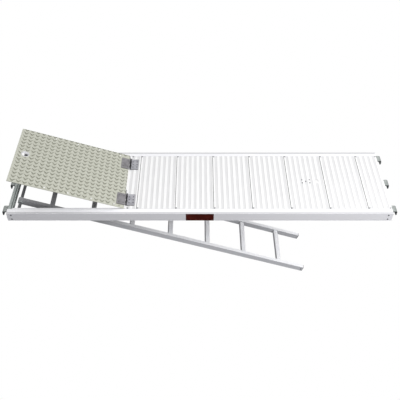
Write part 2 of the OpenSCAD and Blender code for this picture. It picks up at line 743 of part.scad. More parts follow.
near_side_rail();
far_side_rail();
hatch_end_beam();
plain_end_beam();
corner_connectors();
rail_end_rivets();
identity_plate();
hinge_plank();
plank_1();
plank_2();
plank_3();
plank_4();
plank_5();
plank_6();
end_plank();
plank_rivets();
hatch_end_near_claw();
hatch_end_middle_claw();
hatch_end_far_claw();
plain_end_near_claw();
plain_end_middle_claw();
plain_end_far_claw();
hatch_plate();
near_hatch_stiffener();
far_hatch_stiffener();
hatch_edge_rivets();
hand_hole_rim();
hand_hole_grip();
near_hinge_deck_leaf();
far_hinge_deck_leaf();
near_hinge_hatch_leaf();
far_hinge_hatch_leaf();
near_hinge_pin();
far_hinge_pin();
hinge_deck_screws();
hinge_hatch_rivets();
near_stringer();
far_stringer();
rung_1();
rung_2();
rung_3();
rung_4();
rung_5();
rung_6();
rung_7();
ladder_feet();
ladder_foot_rivets();
pivot_bushes();
pivot_shaft();
shaft_collars();
collar_pins();
catch_bracket();
catch_hook();
catch_pin();
catch_rivets();
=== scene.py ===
"""Looks of a scaffold access deck with a tread-plate hatch and a folding ladder.

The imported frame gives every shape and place. This script adds the materials, the
raised tread bars, weld beads, detailed rivet heads and plate trim, then the studio.
Lengths are in metres.
"""

import json
import math
import random
from functools import cache

import bmesh
import bpy
from mathutils import Matrix, Vector


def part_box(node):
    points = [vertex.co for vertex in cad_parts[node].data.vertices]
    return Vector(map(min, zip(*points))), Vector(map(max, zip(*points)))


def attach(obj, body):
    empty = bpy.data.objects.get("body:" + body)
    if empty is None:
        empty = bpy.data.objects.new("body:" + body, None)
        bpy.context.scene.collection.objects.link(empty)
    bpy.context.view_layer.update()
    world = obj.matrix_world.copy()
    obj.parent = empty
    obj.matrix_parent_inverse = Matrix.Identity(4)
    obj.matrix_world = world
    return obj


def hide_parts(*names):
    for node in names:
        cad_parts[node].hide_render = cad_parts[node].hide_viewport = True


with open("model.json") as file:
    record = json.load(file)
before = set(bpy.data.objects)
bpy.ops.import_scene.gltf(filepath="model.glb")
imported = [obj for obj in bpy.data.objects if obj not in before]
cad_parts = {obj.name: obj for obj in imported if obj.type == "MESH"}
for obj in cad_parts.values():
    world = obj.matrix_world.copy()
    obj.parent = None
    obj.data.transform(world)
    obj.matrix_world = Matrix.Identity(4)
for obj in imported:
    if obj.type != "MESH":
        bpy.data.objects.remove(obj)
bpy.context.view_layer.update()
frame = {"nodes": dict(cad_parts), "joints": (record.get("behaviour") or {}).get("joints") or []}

MM = 0.001
SAME_PLACE = 0.01 * MM
NODES = frame["nodes"]
JOINTS = {joint["name"]: joint for joint in frame["joints"]}
UP = Vector((0, 0, 1))
ACROSS = Vector((0, 1, 0))


# ---- places worked out from the frame ---------------------------------------

def middle(node):
    low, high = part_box(node)
    return (low + high) / 2


def turn_about(joint, angle):
    """A turn about a joint's axis, which lies along Y."""
    at = Vector(JOINTS[joint]["pos_m"])
    return Matrix.Translation(at) @ Matrix.Rotation(angle, 4, "Y") @ Matrix.Translation(-at)


def local_box(node, matrix):
    """A node's corners in the frame that matrix places in the row frame."""
    back = matrix.inverted()
    points = [back @ vertex.co for vertex in NODES[node].data.vertices]
    low = Vector([min(p[i] for p in points) for i in range(3)])
    high = Vector([max(p[i] for p in points) for i in range(3)])
    return low, high


# The middle of the walking surface, at the top of the side rails
RAIL_LOW, RAIL_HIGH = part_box("near_side_rail")
DECK_MIDDLE = Vector(((RAIL_LOW.x + RAIL_HIGH.x) / 2, 0, RAIL_HIGH.z))

# The first gap between planks, from the deck's middle, and the gaps' pitch
SEAM_X = (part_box("hinge_plank")[1].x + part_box("plank_1")[0].x) / 2 - DECK_MIDDLE.x
SEAM_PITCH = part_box("plank_2")[0].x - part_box("plank_1")[0].x

# From the deck's middle to the claws' seats, and half a claw's length along the deck
SEAT_REACH = DECK_MIDDLE.x - middle("hatch_end_middle_claw").x
CLAW_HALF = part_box("hatch_end_middle_claw")[1].x - middle("hatch_end_middle_claw").x

# The hatch at rest stands open by the angle that its joint can still close
HATCH_OPEN = -math.radians(JOINTS["hatch_hinge"]["range_deg"][0])
HATCH = turn_about("hatch_hinge", HATCH_OPEN)
HATCH_NORMAL = HATCH.to_3x3() @ UP
PLATE_LOW, PLATE_HIGH = local_box("hatch_plate", HATCH)
HINGE = Vector(JOINTS["hatch_hinge"]["pos_m"])

# The tread pattern's pitches and its start, measured from the hinge as the shader does
TREAD_COLUMN = 38 * MM
TREAD_ROW = 33.2 * MM
TREAD_START_X = PLATE_HIGH.x - 33 * MM - HINGE.x
TREAD_START_Y = 18.5 * MM

# The ladder runs from its first rung to its last
LADDER_ALONG = (middle("rung_7") - middle("rung_1")).normalized()
LADDER_ANGLE = math.atan2(-LADDER_ALONG.z, LADDER_ALONG.x)
LADDER_UP = LADDER_ALONG.cross(ACROSS)


# ---- node materials ---------------------------------------------------------

def colour(red, green, blue):
    """Scene-linear colour of an 8-bit display colour."""
    def linear(value):
        value /= 255
        return value / 12.92 if value <= 0.04045 else ((value + 0.055) / 1.055) ** 2.4
    return (linear(red), linear(green), linear(blue), 1.0)


# Painted shade for the groove bottoms and painted shadow for the gaps between planks
GROOVE_SHADE = colour(224, 224, 225)
SEAM_SHADOW = colour(40, 40, 42)


class Recipe:
    """Builds one node material. Every method adds a node and returns its output."""

    def __init__(self, name, turn=0.0, about=(0, 0, 0)):
        self.material = bpy.data.materials.new(name)
        self.material.use_nodes = True
        self.nodes = self.material.node_tree.nodes
        self.links = self.material.node_tree.links
        self.surface = self.nodes["Principled BSDF"]
        coordinates = self.nodes.new("ShaderNodeTexCoord").outputs["Object"]
        shifted = self.vector("SUBTRACT", coordinates, about)
        mapping = self.nodes.new("ShaderNodeMapping")
        mapping.inputs["Rotation"].default_value = (0, -turn, 0)
        self.links.new(shifted, mapping.inputs["Vector"])
        self.place = mapping.outputs["Vector"]

    def feed(self, socket, value):
        if isinstance(value, bpy.types.NodeSocket):
            self.links.new(value, socket)
        else:
            socket.default_value = value

    def vector(self, operation, a, b, output="Vector"):
        node = self.nodes.new("ShaderNodeVectorMath")
        node.operation = operation
        self.feed(node.inputs[0], a)
        self.feed(node.inputs[1], b)
        return node.outputs[output]

    def math(self, operation, a, b=0.0, c=0.0):
        node = self.nodes.new("ShaderNodeMath")
        node.operation = operation
        for socket, value in zip(node.inputs, (a, b, c)):
            self.feed(socket, value)
        return node.outputs[0]

    def axes(self):
        node = self.nodes.new("ShaderNodeSeparateXYZ")
        self.links.new(self.place, node.inputs[0])
        return node.outputs

    def noise(self, stretch, detail=3.0, roughness=0.55):
        """Noise with its own number of waves a metre along each axis."""
        node = self.nodes.new("ShaderNodeTexNoise")
        self.links.new(self.vector("MULTIPLY", self.place, stretch), node.inputs["Vector"])
        node.inputs["Scale"].default_value = 1.0
        node.inputs["Detail"].default_value = detail
        node.inputs["Roughness"].default_value = roughness
        return node.outputs[0]

    def crystals(self, scale):
        """A random grey for each grain of a spangled surface."""
        node = self.nodes.new("ShaderNodeTexVoronoi")
        self.links.new(self.place, node.inputs["Vector"])
        node.inputs["Scale"].default_value = scale
        split = self.nodes.new("ShaderNodeSeparateColor")
        self.links.new(node.outputs["Color"], split.inputs[0])
        return split.outputs[0]

    def span(self, value, low, high, out_low=0.0, out_high=1.0):
        """Maps low..high onto out_low..out_high with soft ends."""
        node = self.nodes.new("ShaderNodeMapRange")
        node.interpolation_type = "SMOOTHSTEP"
        for socket, number in zip(node.inputs, (value, low, high, out_low, out_high)):
            self.feed(socket, number)
        return node.outputs[0]

    def mix(self, factor, a, b):
        node = self.nodes.new("ShaderNodeMix")
        node.data_type = "RGBA"
        self.feed(node.inputs[0], factor)
        self.feed(node.inputs[6], a)
        self.feed(node.inputs[7], b)
        return node.outputs[2]

    def facing(self, direction):
        """The cosine between the surface's own normal and a direction."""
        flat = self.nodes.new("ShaderNodeNewGeometry").outputs["True Normal"]
        return self.vector("DOT_PRODUCT", flat, tuple(direction), "Value")

    def worn_edges(self, radius):
        """1 along outer edges and corners, 0 on flats."""
        bevel = self.nodes.new("ShaderNodeBevel")
        bevel.samples = 4
        bevel.inputs["Radius"].default_value = radius
        flat = self.nodes.new("ShaderNodeNewGeometry").outputs["Normal"]
        same = self.vector("DOT_PRODUCT", bevel.outputs["Normal"], flat, "Value")
        return self.span(same, 0.995, 0.88)

    def bumps(self, *layers):
        """Stacks (height, distance in metres) layers and feeds the surface's normal."""
        normal = None
        for height, distance in layers:
            node = self.nodes.new("ShaderNodeBump")
            node.inputs["Distance"].default_value = distance
            self.links.new(height, node.inputs["Height"])
            if normal is not None:
                self.links.new(normal, node.inputs["Normal"])
            normal = node.outputs["Normal"]
        self.links.new(normal, self.surface.inputs["Normal"])

    def finish(self, base, roughness, metallic):
        self.feed(self.surface.inputs["Base Color"], base)
        self.feed(self.surface.inputs["Roughness"], roughness)
        self.feed(self.surface.inputs["Metallic"], metallic)
        return self.material


def brushed(recipe, light, dark, streaks, shine, metallic, edge=0.6 * MM):
    """Drawn or rolled metal: streaks one way, cloudy patches, scuffs and bright edges."""
    lines = recipe.noise(streaks, 2.0)
    clouds = recipe.noise((9, 9, 9), 4.0)
    scuffs = recipe.span(recipe.noise((60, 75, 60), 6.0, 0.7), 0.58, 0.72)
    wear = recipe.worn_edges(edge)
    tone = recipe.math("MULTIPLY_ADD", lines, 0.55, recipe.math("MULTIPLY", clouds, 0.55))
    base = recipe.mix(recipe.span(tone, 0.35, 0.75), dark, light)
    base = recipe.mix(recipe.math("MULTIPLY", scuffs, 0.16), base, dark)
    base = recipe.mix(recipe.math("MULTIPLY", wear, 0.5), base, light)
    rough = recipe.span(tone, 0.3, 0.8, shine[1], shine[0])
    rough = recipe.math("MULTIPLY_ADD", scuffs, 0.12, rough)
    recipe.bumps((lines, 0.05 * MM), (scuffs, 0.03 * MM))
    return base, rough, metallic


def plank_aluminium():
    """Pale ribbed planks, with painted shade in the grooves and a painted shadow in the seams."""
    recipe = Recipe("plank_aluminium", about=DECK_MIDDLE)
    base, rough, metallic = brushed(
        recipe, colour(253, 253, 253), colour(246, 246, 247), (900, 14, 900), (0.34, 0.5), 0.3)
    along, _, height = recipe.axes()
    # Painted shade on the groove bottoms, broken up by noise
    groove = recipe.math("MULTIPLY", recipe.span(height, -0.1 * MM, -1.3 * MM),
                         recipe.span(height, -2.6 * MM, -1.9 * MM))
    painted_crease_shade = recipe.span(recipe.noise((40, 6, 40), 4.0), 0.2, 0.8, 0.75, 1.0)
    base = recipe.mix(recipe.math("MULTIPLY", groove, painted_crease_shade), base, GROOVE_SHADE)
    # Painted shadow in the gaps between planks
    from_seam = recipe.math(
        "PINGPONG", recipe.math("SUBTRACT", along, SEAM_X), SEAM_PITCH / 2)
    base = recipe.mix(recipe.span(from_seam, 1.5 * MM, 1.0 * MM), base, SEAM_SHADOW)
    return recipe.finish(base, rough, metallic)


def rail_aluminium():
    """Satin extruded rails, drawn lines running along the deck; painted shade on the bevels and on
    the sides facing the front.
    """
    recipe = Recipe("rail_aluminium")
    base, rough, metallic = brushed(
        recipe, colour(248, 248, 250), colour(240, 240, 244), (5, 800, 800), (0.4, 0.55), 0.15)
    # Painted shade: faces toward the front are darkened
    side = recipe.span(recipe.facing(-ACROSS), 0.5, 0.9)
    base = recipe.mix(recipe.math("MULTIPLY", side, 0.8), base, colour(222, 222, 227))
    # Painted shade on the bevels
    lift = recipe.facing(UP)
    bevel = recipe.math("MULTIPLY", recipe.span(lift, 0.5, 0.9), recipe.span(lift, 0.995, 0.975))
    base = recipe.mix(bevel, base, colour(200, 200, 203))
    return recipe.finish(base, rough, metallic)


def pivot_painted_shade(recipe, base):
    """Painted shade, broken into blotches, on the part of the ladder that hangs by the shaft."""
    blotches = recipe.span(recipe.noise((14, 14, 14), 4.0, 0.6), 0.3, 0.7, 0.85, 1.0)
    near = recipe.span(recipe.axes()[0], 650 * MM, 380 * MM)
    return recipe.mix(recipe.math("MULTIPLY", near, blotches), base, colour(150, 150, 153))


def ladder_aluminium():
    """Stringers, drawn along the ladder, with painted shade on their outer sides and near the shaft.
    """
    recipe = Recipe("ladder_aluminium", LADDER_ANGLE, JOINTS["ladder_pivot"]["pos_m"])
    base, rough, metallic = brushed(
        recipe, colour(253, 253, 255), colour(242, 243, 247), (5, 800, 800), (0.38, 0.55), 0.1)
    # Painted shade: faces toward the front are darkened
    side = recipe.span(recipe.facing(-ACROSS), 0.5, 0.9)
    base = recipe.mix(recipe.math("MULTIPLY", side, 0.8), base, colour(186, 187, 192))
    # Painted shade near the shaft
    return recipe.finish(pivot_painted_shade(recipe, base), rough, metallic)


def rung_aluminium():
    """Rungs, drawn across the ladder, their treads rubbed by boots."""
    recipe = Recipe("rung_aluminium", LADDER_ANGLE, JOINTS["ladder_pivot"]["pos_m"])
    base, rough, metallic = brushed(
        recipe, colour(253, 253, 255), colour(240, 241, 245), (800, 8, 800), (0.38, 0.55), 0.1)
    # Painted shade near the shaft
    return recipe.finish(pivot_painted_shade(recipe, base), rough, metallic)


def zinc_coat(recipe, light, dark):
    """Hot-dip zinc between two tones: spangle, rolled stripes and chalky bloom."""
    grains = recipe.crystals(110)
    bloom = recipe.span(recipe.noise((25, 25, 25), 5.0, 0.65), 0.45, 0.7)
    stripes = recipe.span(recipe.noise((90, 1.5, 90), 2.0), 0.35, 0.65)
    base = recipe.mix(grains, dark, light)
    base = recipe.mix(recipe.math("MULTIPLY", stripes, 0.45), base, dark)
    base = recipe.mix(recipe.math("MULTIPLY", bloom, 0.4), base, light)
    recipe.bumps((grains, 0.06 * MM), (bloom, 0.08 * MM))
    return base, recipe.span(grains, 0.0, 1.0, 0.36, 0.58)


def galvanised():
    """Grey-green zinc on the beams, collars and catch, with painted shade down in grooves."""
    recipe = Recipe("galvanised", about=(0, 0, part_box("hatch_end_beam")[1].z))
    base, rough = zinc_coat(recipe, colour(205, 211, 209), colour(176, 183, 180))
    # Painted shade on the groove bottoms
    height = recipe.axes()[2]
    groove = recipe.math("MULTIPLY", recipe.span(height, -0.4 * MM, -1.6 * MM),
                         recipe.span(height, -3.0 * MM, -2.4 * MM))
    base = recipe.mix(recipe.math("MULTIPLY", groove, 0.8), base, colour(98, 106, 104))
    wear = recipe.worn_edges(1.0 * MM)
    base = recipe.mix(recipe.math("MULTIPLY", wear, 0.5), base, colour(214, 220, 218))
    return recipe.finish(base, rough, 0.5)


def claw_zinc():
    """Claws: lighter on top and darker on other faces as painted light and shade, with darker bands
    at the root and nose.
    """
    recipe = Recipe("claw_zinc", about=DECK_MIDDLE)
    base, rough = zinc_coat(recipe, colour(188, 192, 190), colour(150, 156, 154))
    # Painted light and shade: faces that do not face up are darkened
    base = recipe.mix(recipe.span(recipe.facing(UP), 0.5, 0.95), colour(96, 100, 101), base)
    along = recipe.math("ABSOLUTE", recipe.axes()[0])
    from_seat = recipe.math("ABSOLUTE", recipe.math("SUBTRACT", along, SEAT_REACH))
    outline = recipe.span(from_seat, CLAW_HALF - 6 * MM, CLAW_HALF - 3 * MM)
    base = recipe.mix(recipe.math("MULTIPLY", outline, 0.9), base, colour(62, 66, 67))
    return recipe.finish(base, rough, 0.45)


def tread_metal(name, light, dark, painted_crease_shade):
    """Olive-grey tread plate metal, with painted shade where two bars meet."""
    recipe = Recipe(name, HATCH_OPEN, JOINTS["hatch_hinge"]["pos_m"])
    along, across, _ = recipe.axes()
    mottled = recipe.noise((120, 120, 120), 4.0, 0.6)
    grain = recipe.noise((700, 700, 700), 2.0)
    base = recipe.mix(recipe.span(mottled, 0.35, 0.65), dark, light)
    # Painted shade round the points where two bars meet
    column = recipe.math("PINGPONG", recipe.math("SUBTRACT", along, TREAD_START_X), TREAD_COLUMN / 2)
    row = recipe.math("PINGPONG", recipe.math("SUBTRACT", across, TREAD_START_Y), TREAD_ROW / 2)
    far = recipe.math("SQRT", recipe.math(
        "MULTIPLY_ADD", column, column, recipe.math("MULTIPLY", row, row)))
    base = recipe.mix(recipe.span(far, 13 * MM, 3 * MM), base, painted_crease_shade)
    rough = recipe.span(mottled, 0.2, 0.8, 0.42, 0.62)
    recipe.bumps((grain, 0.03 * MM), (mottled, 0.05 * MM))
    return recipe, base, rough


def tread_plate():
    recipe, base, rough = tread_metal(
        "tread_plate", colour(197, 198, 187), colour(184, 185, 172), colour(158, 159, 145))
    return recipe.finish(base, rough, 0.25)


def tread_bar():
    """The bars are given a darker tone as painted shade, darkest where two of them meet."""
    # Darker bar colours: painted shade
    recipe, base, rough = tread_metal(
        "tread_bar", colour(150, 151, 138), colour(134, 135, 122), colour(88, 89, 77))
    return recipe.finish(base, rough, 0.3)


def zinc_hinge(name, light, dark):
    """Zinc-plated hinge steel: fine pitting, darker edges, painted shade on the knuckles and on
    faces toward the front.
    """
    recipe = Recipe(name, about=JOINTS["hatch_hinge"]["pos_m"])
    pits = recipe.noise((420, 420, 420), 3.0)
    bloom = recipe.noise((30, 30, 30), 4.0)
    outline = recipe.worn_edges(2.5 * MM)
    base = recipe.mix(recipe.span(bloom, 0.3, 0.7), dark, light)
    base = recipe.mix(recipe.math("MULTIPLY", recipe.span(pits, 0.6, 0.7), 0.4), base, dark)
    base = recipe.mix(recipe.math("MULTIPLY", outline, 0.7), base, colour(66, 65, 69))
    # Painted shade on the knuckles
    along, _, height = recipe.axes()
    reach = recipe.math("SQRT", recipe.math(
        "MULTIPLY_ADD", along, along, recipe.math("MULTIPLY", height, height)))
    knuckle = recipe.math("MULTIPLY", recipe.span(reach, 6.5 * MM, 5.5 * MM),
                          recipe.span(recipe.math("ABSOLUTE", along), 5 * MM, 3 * MM))
    base = recipe.mix(knuckle, base, colour(36, 35, 39))
    # Painted shade: faces toward the front are darkened
    base = recipe.mix(recipe.span(recipe.facing(-ACROSS), 0.5, 0.9), base, colour(22, 21, 25))
    recipe.bumps((pits, 0.06 * MM), (bloom, 0.1 * MM))
    return recipe.finish(base, recipe.span(bloom, 0.2, 0.8, 0.34, 0.52), 0.6)


def deck_leaf_zinc():
    return zinc_hinge("deck_leaf_zinc", colour(195, 195, 201), colour(169, 169, 176))


@cache
def hatch_leaf_zinc():
    return zinc_hinge("hatch_leaf_zinc", colour(156, 154, 157), colour(130, 128, 131))


@cache
def dark_steel():
    """Dark plated fasteners and shaft, rubbed to bare metal on edges."""
    recipe = Recipe("dark_steel")
    mottled = recipe.noise((160, 160, 160), 4.0)
    wear = recipe.worn_edges(0.8 * MM)
    base = recipe.mix(recipe.span(mottled, 0.3, 0.7), colour(62, 63, 67), colour(94, 95, 100))
    base = recipe.mix(recipe.math("MULTIPLY", wear, 0.45), base, colour(150, 150, 154))
    recipe.bumps((mottled, 0.08 * MM))
    return recipe.finish(base, recipe.span(mottled, 0.2, 0.8, 0.35, 0.55), 0.5)


def shaft_steel():
    """The cross shaft: bare drawn steel with oily brown-grey blotches."""
    recipe = Recipe("shaft_steel")
    lines = recipe.noise((700, 12, 700), 2.0)
    oil = recipe.span(recipe.noise((60, 18, 60), 4.0, 0.65), 0.4, 0.7)
    base = recipe.mix(recipe.span(lines, 0.3, 0.7), colour(120, 121, 124), colour(146, 147, 150))
    base = recipe.mix(recipe.math("MULTIPLY", oil, 0.5), base, colour(84, 84, 86))
    recipe.bumps((lines, 0.04 * MM), (oil, 0.05 * MM))
    return recipe.finish(base, recipe.span(oil, 0.0, 1.0, 0.5, 0.32), 0.55)


def plank_rivet_metal():
    """Grey plank rivets, each dull head darker round its rim."""
    recipe = Recipe("plank_rivet_metal")
    mottled = recipe.noise((240, 240, 240), 3.0)
    wear = recipe.worn_edges(0.6 * MM)
    base = recipe.mix(recipe.span(mottled, 0.3, 0.7), colour(128, 129, 132), colour(158, 159, 162))
    base = recipe.mix(recipe.math("MULTIPLY", wear, 0.7), base, colour(88, 89, 92))
    recipe.bumps((mottled, 0.05 * MM))
    return recipe.finish(base, recipe.span(mottled, 0.2, 0.8, 0.35, 0.55), 0.4)


def bright_rivet():
    """Bright aluminium rivet heads, turned marks and a dark mandrel hole."""
    recipe = Recipe("bright_rivet")
    mottled = recipe.noise((260, 260, 260), 3.0)
    wear = recipe.worn_edges(0.6 * MM)
    base = recipe.mix(recipe.span(mottled, 0.3, 0.7), colour(232, 232, 234), colour(250, 250, 250))
    base = recipe.mix(recipe.math("MULTIPLY", wear, 0.5), base, colour(255, 255, 255))
    recipe.bumps((mottled, 0.05 * MM))
    return recipe.finish(base, recipe.span(mottled, 0.2, 0.8, 0.22, 0.4), 0.5)


@cache
def weld_metal():
    """Aluminium weld: silver ripples with a sooty halo."""
    recipe = Recipe("weld_metal", LADDER_ANGLE)
    soot = recipe.noise((220, 220, 220), 4.0, 0.7)
    grain = recipe.noise((900, 900, 900), 2.0)
    base = recipe.mix(recipe.span(soot, 0.4, 0.7), colour(208, 209, 212), colour(142, 143, 147))
    recipe.bumps((grain, 0.04 * MM), (soot, 0.15 * MM))
    return recipe.finish(base, recipe.span(soot, 0.3, 0.8, 0.3, 0.6), 0.7)


def black_plastic():
    """Moulded black plastic: fine leather-like grain and scuffed edges."""
    recipe = Recipe("black_plastic", LADDER_ANGLE)
    grain = recipe.noise((1100, 1100, 1100), 2.0)
    dust = recipe.span(recipe.noise((45, 45, 45), 5.0, 0.7), 0.5, 0.75)
    wear = recipe.worn_edges(0.9 * MM)
    base = recipe.mix(recipe.math("MULTIPLY", dust, 0.35), colour(34, 34, 36), colour(92, 92, 92))
    base = recipe.mix(recipe.math("MULTIPLY", wear, 0.4), base, colour(104, 104, 104))
    recipe.bumps((grain, 0.08 * MM))
    return recipe.finish(base, recipe.span(dust, 0.0, 1.0, 0.42, 0.66), 0.0)


@cache
def identity_enamel():
    """Red-brown printed plate, faded in clouds, with a fine orange-peel skin."""
    recipe = Recipe("identity_enamel")
    faded = recipe.noise((22, 22, 40), 4.0)
    peel = recipe.noise((500, 500, 500), 2.0)
    wear = recipe.worn_edges(0.8 * MM)
    base = recipe.mix(recipe.span(faded, 0.3, 0.7), colour(58, 12, 5), colour(76, 22, 13))
    base = recipe.mix(recipe.math("MULTIPLY", wear, 0.3), base, colour(104, 60, 50))
    recipe.bumps((peel, 0.03 * MM))
    recipe.surface.inputs["Specular IOR Level"].default_value = 0.25
    return recipe.finish(base, recipe.span(faded, 0.2, 0.8, 0.4, 0.55), 0.0)


# ---- mesh helpers -----------------------------------------------------------

def make_piece(name, points, faces, material, body, smooth=True):
    """A closed mesh piece that rides on a body. Doubled points are welded."""
    mesh = bpy.data.meshes.new(name)
    mesh.from_pydata([tuple(point) for point in points], [], faces)
    shape = bmesh.new()
    shape.from_mesh(mesh)
    bmesh.ops.remove_doubles(shape, verts=shape.verts, dist=1e-6)
    bmesh.ops.recalc_face_normals(shape, faces=shape.faces)
    shape.to_mesh(mesh)
    shape.free()
    for polygon in mesh.polygons:
        polygon.use_smooth = smooth
    mesh.materials.append(material)
    piece = bpy.data.objects.new(name, mesh)
    bpy.context.scene.collection.objects.link(piece)
    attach(piece, body)
    return piece


class Stack:
    """Gathers the points and faces of one piece."""

    def __init__(self):
        self.points = []
        self.faces = []

    def rings(self, rings, closed_path=False):
        """Skins a run of rings; an open run is capped at both ends."""
        first = len(self.points)
        count = len(rings[0])
        for ring in rings:
            self.points.extend(ring)
        runs = len(rings) if closed_path else len(rings) - 1
        for i in range(runs):
            a = first + i * count
            b = first + (i + 1) % len(rings) * count
            for j in range(count):
                k = (j + 1) % count
                self.faces.append((a + j, a + k, b + k, b + j))
        if not closed_path:
            self.faces.append(tuple(range(first + count - 1, first - 1, -1)))
            last = first + (len(rings) - 1) * count
            self.faces.append(tuple(range(last, last + count)))


def around(axis):
    """Two unit vectors that span the plane across an axis."""
    side = ACROSS if abs(axis.y) < 0.9 else Vector((1, 0, 0))
    first = side.cross(axis).normalized()
    return first, axis.cross(first)


# ---- raised tread bars on the hatch -----------------------------------------

BAR_LENGTH = 24.5 * MM
BAR_WIDTH = 7.5 * MM
BAR_HEIGHT = 1.1 * MM
BAR_ANGLE = math.radians(48)
BAR_OFFSET = 9 * MM  # of a bar's middle from its column's middle line
BAR_RISE = 9 * MM  # of a bar's middle above its row's start
BAR_CLEARANCE = 0.42 * BAR_LENGTH  # kept round holes and rivets
LEAF_CLEARANCE = 9 * MM  # kept round the hinge leaves
RIVET_CLEARANCE = 1 * MM
END_MARGIN = 4.5 * MM
SIDE_MARGIN = 0.6 * MM
BAR_STEPS = 12
# Share of the bar's outline and height over the plate, from the buried foot to the crown
BAR_SECTION = ((1.0, -0.3 * MM), (0.92, 0.25 * BAR_HEIGHT), (0.7, 0.8 * BAR_HEIGHT),
               (0.4, BAR_HEIGHT))


def keep_clear_places():
    """(middle, radius) on the closed hatch of what the tread bars leave free."""
    rim_low, rim_high = local_box("hand_hole_rim", HATCH)
    places = [((rim_low + rim_high) / 2, (rim_high.x - rim_low.x) / 2)]
    for seat in fastener_seats("hatch_edge_rivets", HATCH_NORMAL):
        places.append((HATCH.inverted() @ seat[0], seat[1] + RIVET_CLEARANCE))
    return places


def bar_rings(centre, angle):
    """Outlines of one lens-shaped bar from its buried foot to its crown.

    The plate was cut from a larger sheet, so a bar at its edge ends flat there.
    """
    rings = []
    for share, height in BAR_SECTION:
        ring = []
        for step in range(BAR_STEPS):
            phase = 2 * math.pi * step / BAR_STEPS
            x = BAR_LENGTH / 2 * math.cos(phase) * (0.55 + 0.45 * share)
            y = BAR_WIDTH / 2 * math.sin(phase) * abs(math.sin(phase)) ** 0.5 * share
            along = centre.x + x * math.cos(angle) - y * math.sin(angle)
            across = centre.y + x * math.sin(angle) + y * math.cos(angle)
            along = min(max(along, PLATE_LOW.x + END_MARGIN), PLATE_HIGH.x - SIDE_MARGIN)
            across = min(max(across, PLATE_LOW.y + SIDE_MARGIN), PLATE_HIGH.y - SIDE_MARGIN)
            ring.append(HATCH @ Vector((along, across, PLATE_HIGH.z + height)))
        rings.append(ring)
    return rings


def tread_bars():
    """Pairs of bars that meet in V shapes, in columns across the hatch."""
    stack = Stack()
    clear = keep_clear_places()
    leaves = [local_box(node, HATCH) for node in ("near_hinge_hatch_leaf", "far_hinge_hatch_leaf")]
    columns = int((PLATE_HIGH.x - PLATE_LOW.x) / TREAD_COLUMN) + 2
    rows = int((PLATE_HIGH.y - PLATE_LOW.y) / TREAD_ROW) + 2
    for i in range(-1, columns):
        for j in range(-rows // 2, rows // 2 + 1):
            for side in (-1, 1):
                centre = Vector((HINGE.x + TREAD_START_X - i * TREAD_COLUMN + side * BAR_OFFSET,
                                 TREAD_START_Y + j * TREAD_ROW + BAR_RISE, PLATE_HIGH.z))
                inside = (PLATE_LOW.x + END_MARGIN < centre.x < PLATE_HIGH.x - SIDE_MARGIN
                          and PLATE_LOW.y + SIDE_MARGIN < centre.y < PLATE_HIGH.y - SIDE_MARGIN)
                if not inside:
                    continue
                if any((centre.xy - place.xy).length < radius + BAR_CLEARANCE
                       for place, radius in clear):
                    continue
                if any(low.x - LEAF_CLEARANCE < centre.x
                       and low.y - LEAF_CLEARANCE < centre.y < high.y + LEAF_CLEARANCE
                       for low, high in leaves):
                    continue
                stack.rings(bar_rings(centre, side * BAR_ANGLE))
    piece = make_piece("hatch_tread_bars", stack.points, stack.faces, tread_bar(), "hatch")


# ---- fasteners --------------------------------------------------------------

def islands(node):
    """Vertex groups of a node's separate solids, joined where points coincide."""
    mesh = NODES[node].data
    shape = bmesh.new()
    shape.from_mesh(mesh)
    bmesh.ops.remove_doubles(shape, verts=shape.verts, dist=SAME_PLACE)
    left = set(shape.verts)
    groups = []
    while left:
        group = []
        front = [min(left, key=lambda vertex: vertex.index)]
        left.discard(front[0])
        while front:
            vertex = front.pop()
            group.append(vertex.co.copy())
            for link in vertex.link_edges:
                other = link.other_vert(vertex)
                if other in left:
                    left.discard(other)
                    front.append(other)
        groups.append(group)
    shape.free()
    return groups


def fastener_seats(node, axis):
    """(middle of the head's top, head radius, outward axis) of each fastener.

    Axis is the outward direction on the object's positive side; it turns round on
    the other side when the fastener sits there.
    """
    seats = []
    for group in islands(node):
        centre = sum(group, Vector()) / len(group)
        outward = axis.copy()
        if abs(axis.z) < 0.5 and centre.dot(axis) < 0:
            outward = -axis
        first, second = around(outward)
        spans = [(min(p.dot(d) for p in group), max(p.dot(d) for p in group))
                 for d in (first, second, outward)]
        top = (first * sum(spans[0]) / 2 + second * sum(spans[1]) / 2 + outward * spans[2][1])
        seats.append((top, (spans[0][1] - spans[0][0]) / 2, outward))
    return seats


def hexagon_reach(phase, flat):
    """Distance from a hexagon's middle to its side at an angle."""
    return flat / math.cos((phase % (math.pi / 3)) - math.pi / 6)


HEAD_STEPS = 24
SHANK_LENGTH = 1.5 * MM


def head_rings(top, radius, axis, height, recess, hexagonal):
    """Rings of a domed head, from its short shank up over the dome into its recess."""
    first, second = around(axis)
    dome = [(radius * math.cos(a), -height + height * math.sin(a))
            for a in (math.radians(d) for d in (0, 18, 36, 54, 68))]
    profile = [(radius * 0.5, -height - SHANK_LENGTH), (radius * 0.5, -height)] + dome
    profile += [(recess * 1.12, -0.04 * height), (recess, -0.1 * height)]
    floor = -0.75 * height
    rings = []
    for r, z in profile:
        rings.append([top + axis * z + first * r * math.cos(p) + second * r * math.sin(p)
                      for p in (2 * math.pi * s / HEAD_STEPS for s in range(HEAD_STEPS))])
    for share in (1.0, 0.3):
        ring = []
        for step in range(HEAD_STEPS):
            phase = 2 * math.pi * step / HEAD_STEPS
            reach = hexagon_reach(phase, recess * 0.86) if hexagonal else recess * 0.92
            ring.append(top + axis * floor + first * reach * share * math.cos(phase)
                        + second * reach * share * math.sin(phase))
        rings.append(ring)
    return rings


